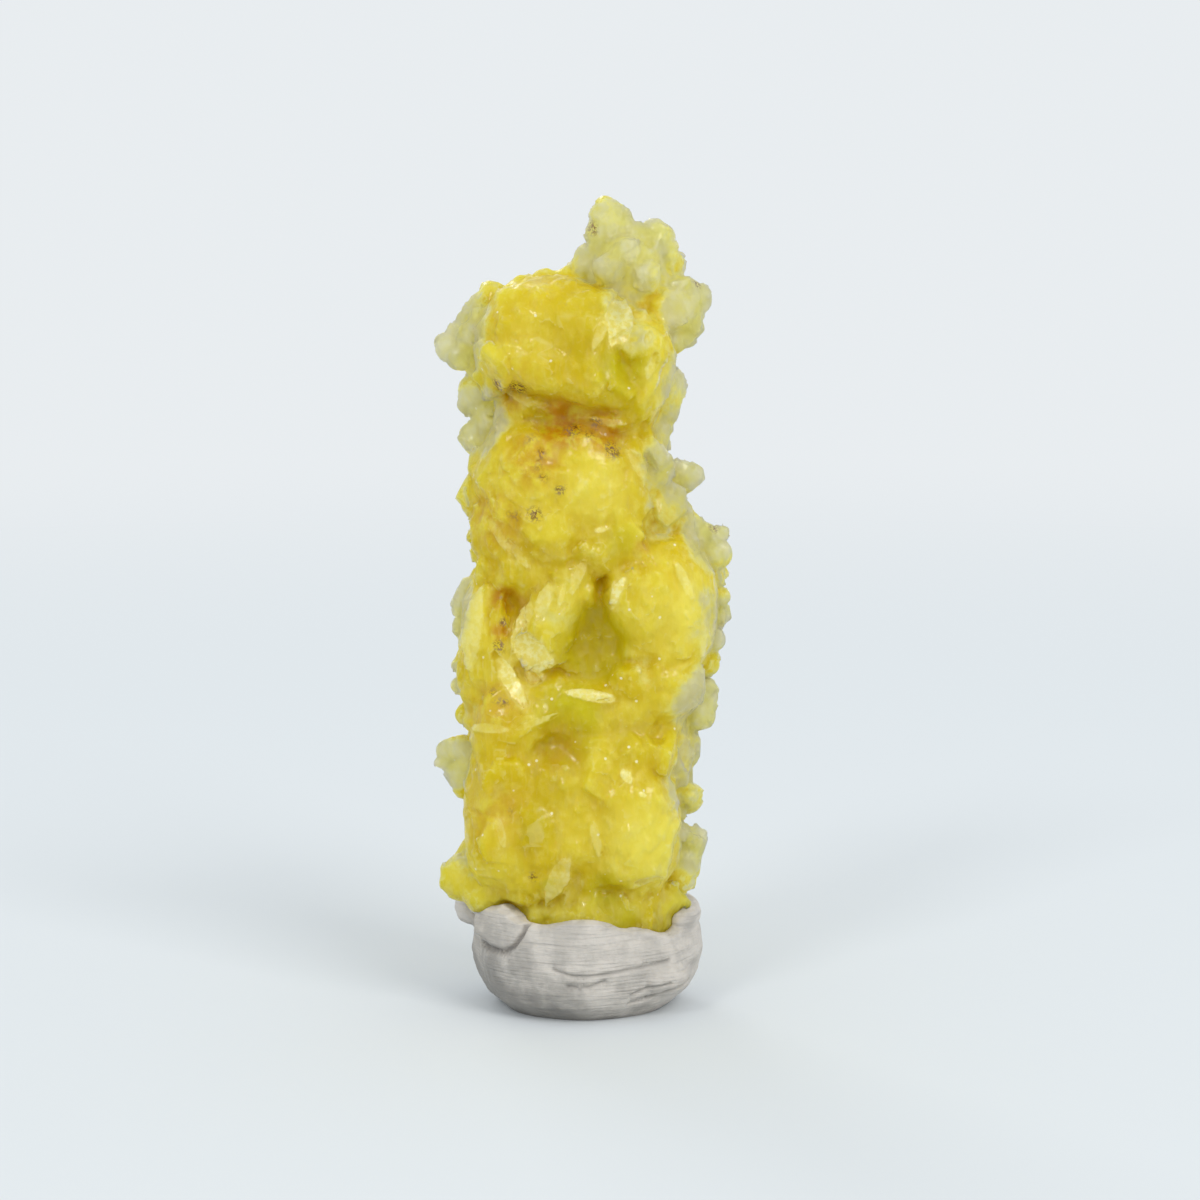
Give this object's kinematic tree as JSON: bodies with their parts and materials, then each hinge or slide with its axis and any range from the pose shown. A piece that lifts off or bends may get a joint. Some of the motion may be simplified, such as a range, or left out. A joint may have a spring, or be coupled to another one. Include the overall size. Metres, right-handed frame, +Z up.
{
  "type": "brucite specimen",
  "caption": "Upright column of intergrown crystal lumps, plates and rounded lobes, held upright in a wad of putty.",
  "frame": {"origin": "middle of the putty's flat underside, on the surface the specimen stands on", "axes": "+Z up along the column, -Y towards the viewer of its front, +X to the right seen from the front"},
  "size_m": [0.036, 0.024, 0.0977],
  "materials": {
    "brucite": "waxy to glassy crystal, lemon yellow, translucent at its thin edges",
    "putty": "matt warm grey putty with finger marks"
  },
  "bodies": {
    "root": {"brucite": "brucite", "putty": "putty"}
  },
  "joints": []
}
